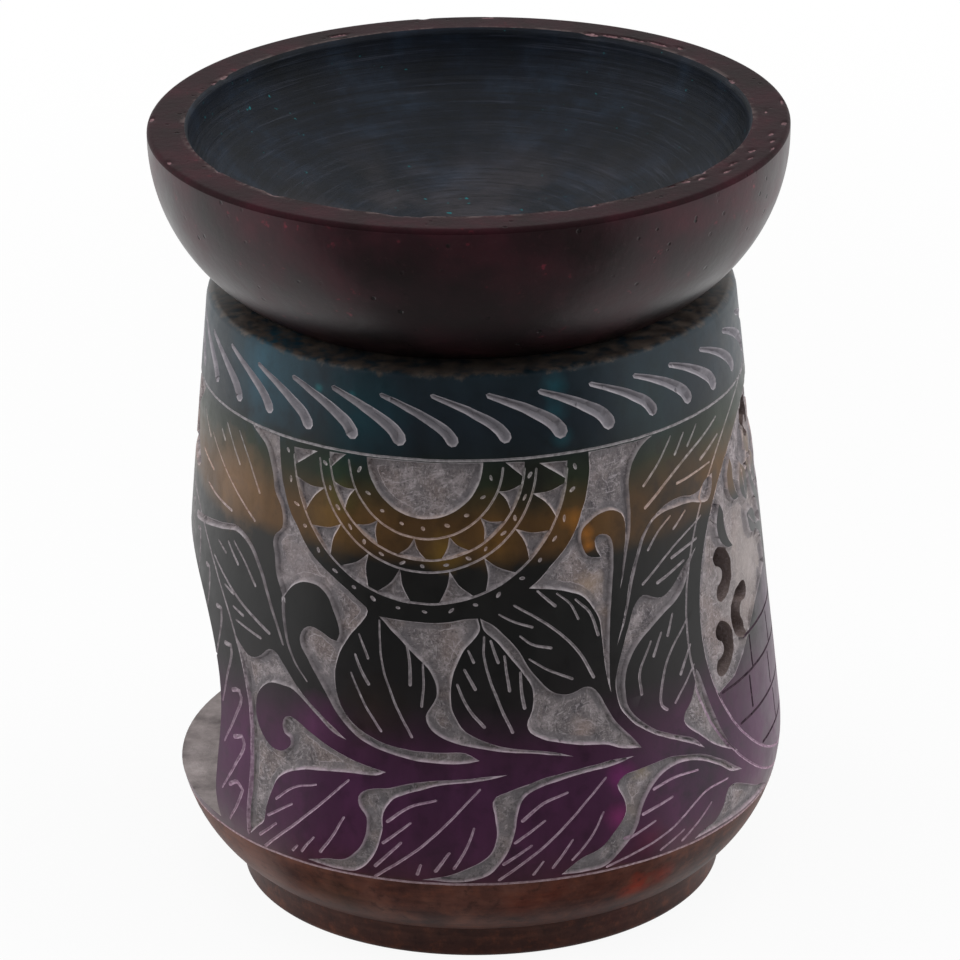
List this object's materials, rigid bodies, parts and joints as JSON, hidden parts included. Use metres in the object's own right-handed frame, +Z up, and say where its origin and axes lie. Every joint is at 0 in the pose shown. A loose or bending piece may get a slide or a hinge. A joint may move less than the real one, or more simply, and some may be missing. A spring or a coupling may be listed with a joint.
{
  "type": "essential oil burner",
  "caption": "Turned stone oil burner with an arched candle doorway, a loose oil bowl on top and a tealight in its chamber.",
  "frame": {"origin": "middle of the foot's underside, on the turning axis", "axes": "+Z up along the turning axis, -X out through the candle doorway, -Y towards the side seen in the picture"},
  "size_m": [0.079, 0.079, 0.1],
  "materials": {
    "body_stone": "soapstone, painted in bands and carved through to the bare stone",
    "bowl_stone": "soapstone, dyed dark and polished",
    "cup_foil": "thin pressed foil",
    "wax": "white paraffin wax",
    "tin": "tin plate",
    "wick": "braided cotton, waxed"
  },
  "bodies": {
    "burner": {"burner_body": "body_stone"},
    "bowl": {"oil_bowl": "bowl_stone"},
    "tealight": {"tealight_cup": "cup_foil", "tealight_wax": "wax", "wick_sustainer": "tin", "tealight_wick": "wick"}
  },
  "joints": [
    {"name": "bowl_lift", "type": "slide", "parent": "burner", "child": "bowl", "axis": [0, 0, 1], "range_m": [0, 0.05]},
    {"name": "tealight_slide", "type": "slide", "parent": "burner", "child": "tealight", "axis": [-1, 0, 0], "range_m": [0, 0.065]}
  ]
}
